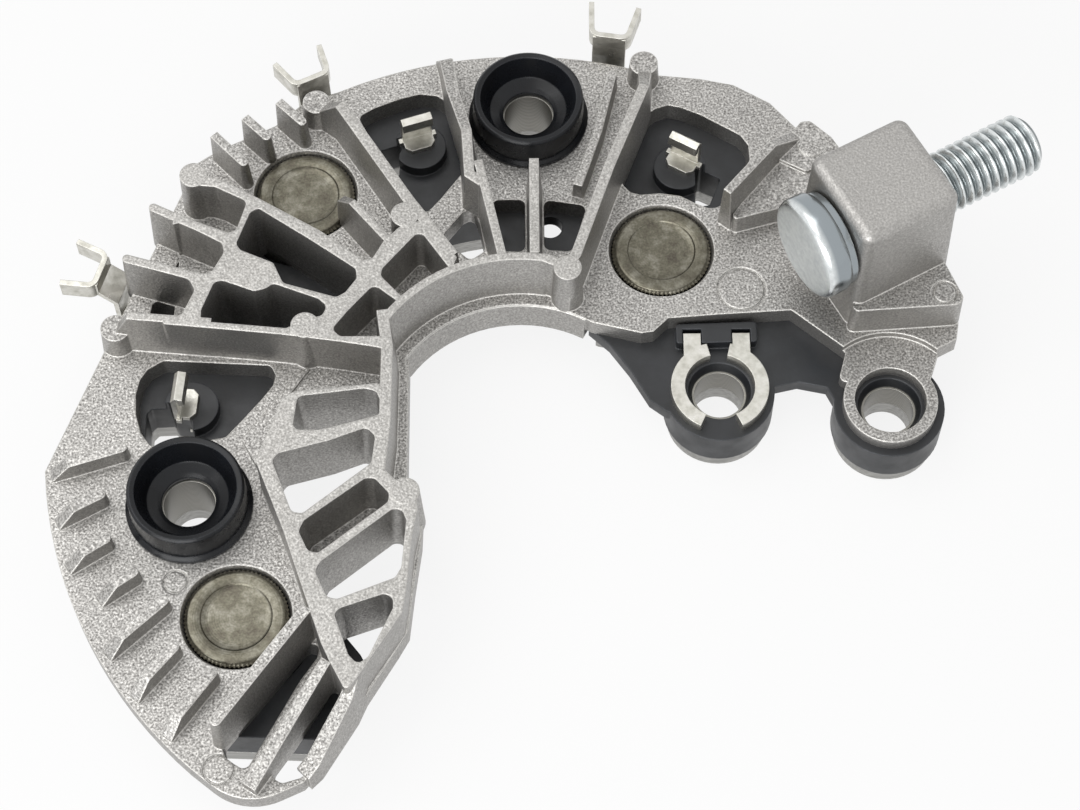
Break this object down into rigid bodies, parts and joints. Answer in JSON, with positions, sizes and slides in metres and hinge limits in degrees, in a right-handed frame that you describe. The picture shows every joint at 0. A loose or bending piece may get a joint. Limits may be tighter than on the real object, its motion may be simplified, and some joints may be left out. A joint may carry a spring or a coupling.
{
  "type": "alternator rectifier",
  "caption": "Horseshoe rectifier: finned cast heat sink with pressed diodes and a side stud on a black connection plate, fork terminals on its rim and insulated bolt holes.",
  "frame": {"origin": "on the alternator's shaft axis, in the resting plane under the negative heat sink", "axes": "+Z along the shaft axis, from the resting face to the finned face; +X towards the lugs and the stud; +Y across, towards the phase terminals on the long side"},
  "size_m": [0.1239, 0.1093, 0.0305],
  "materials": {
    "cast_aluminium": "bare die casting, fine grey grain",
    "aluminium_sheet": "rolled sheet, satin",
    "nickel_plated_cup": "dull nickel plate",
    "tinned_strip": "bright tin plate",
    "black_moulding": "satin, as moulded",
    "black_bush": "semi-gloss, as moulded",
    "steel_sleeve": "turned, dull",
    "zinc_plated_steel": "bright zinc plate"
  },
  "bodies": {
    "root": {"positive_heat_sink": "cast_aluminium", "positive_diode_1": "nickel_plated_cup", "positive_diode_2": "nickel_plated_cup", "positive_diode_3": "nickel_plated_cup", "negative_diode_1": "nickel_plated_cup", "negative_diode_2": "nickel_plated_cup", "negative_diode_3": "nickel_plated_cup", "phase_terminal_1": "tinned_strip", "phase_terminal_2": "tinned_strip", "phase_terminal_3": "tinned_strip", "connection_plate": "black_moulding", "negative_heat_sink": "aluminium_sheet", "insulating_bush_left": "black_bush", "insulating_bush_top": "black_bush", "bush_sleeve_left": "steel_sleeve", "bush_sleeve_top": "steel_sleeve", "lug_sleeve_left": "steel_sleeve", "lug_sleeve_right": "steel_sleeve", "contact_half_left": "tinned_strip", "contact_half_right": "tinned_strip", "b_plus_stud": "zinc_plated_steel"}
  },
  "joints": []
}
